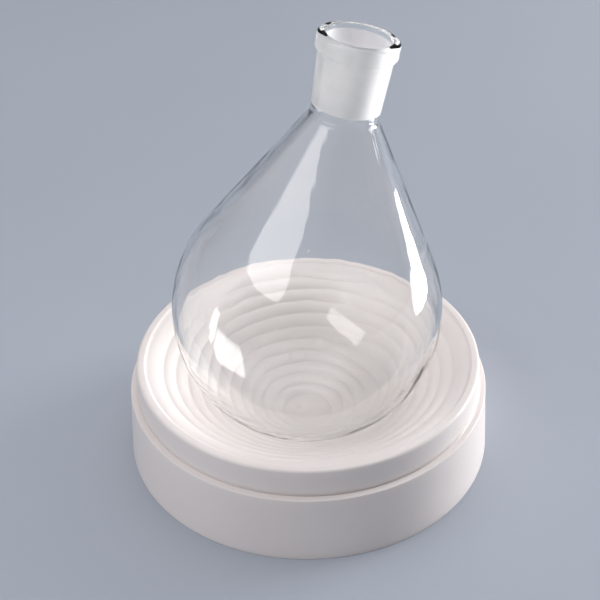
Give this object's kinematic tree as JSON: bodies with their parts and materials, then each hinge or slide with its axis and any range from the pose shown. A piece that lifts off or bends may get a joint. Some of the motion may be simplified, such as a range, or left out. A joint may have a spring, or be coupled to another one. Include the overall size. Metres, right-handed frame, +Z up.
{
  "type": "round bottom flask in a flask stand",
  "caption": "Clear glass round bottom flask with a frosted tapered ground socket, leaning in a white two-tier plastic stand with a stepped conical dish that holds it up.",
  "frame": {"origin": "centre of the stand's footprint, on the surface that it stands on", "axes": "+Z up; the stand is round about Z; the flask leans towards +X and a little towards +Y; the front is -Y"},
  "size_m": [0.1822, 0.1822, 0.2216],
  "materials": {
    "clear_glass": "polished",
    "ground_glass": "ground, frosted",
    "white_plastic": "satin moulded"
  },
  "bodies": {
    "stand": {"stand": "white_plastic"},
    "flask": {"flask_bulb": "clear_glass", "ground_socket": "ground_glass"}
  },
  "joints": [
    {"name": "flask_tilt", "type": "hinge", "parent": "stand", "child": "flask", "pos_m": [0, 0, 0.08099], "axis": [-0.5693, 0.8221, 0], "range_deg": [-102.6, 77.4]}
  ]
}
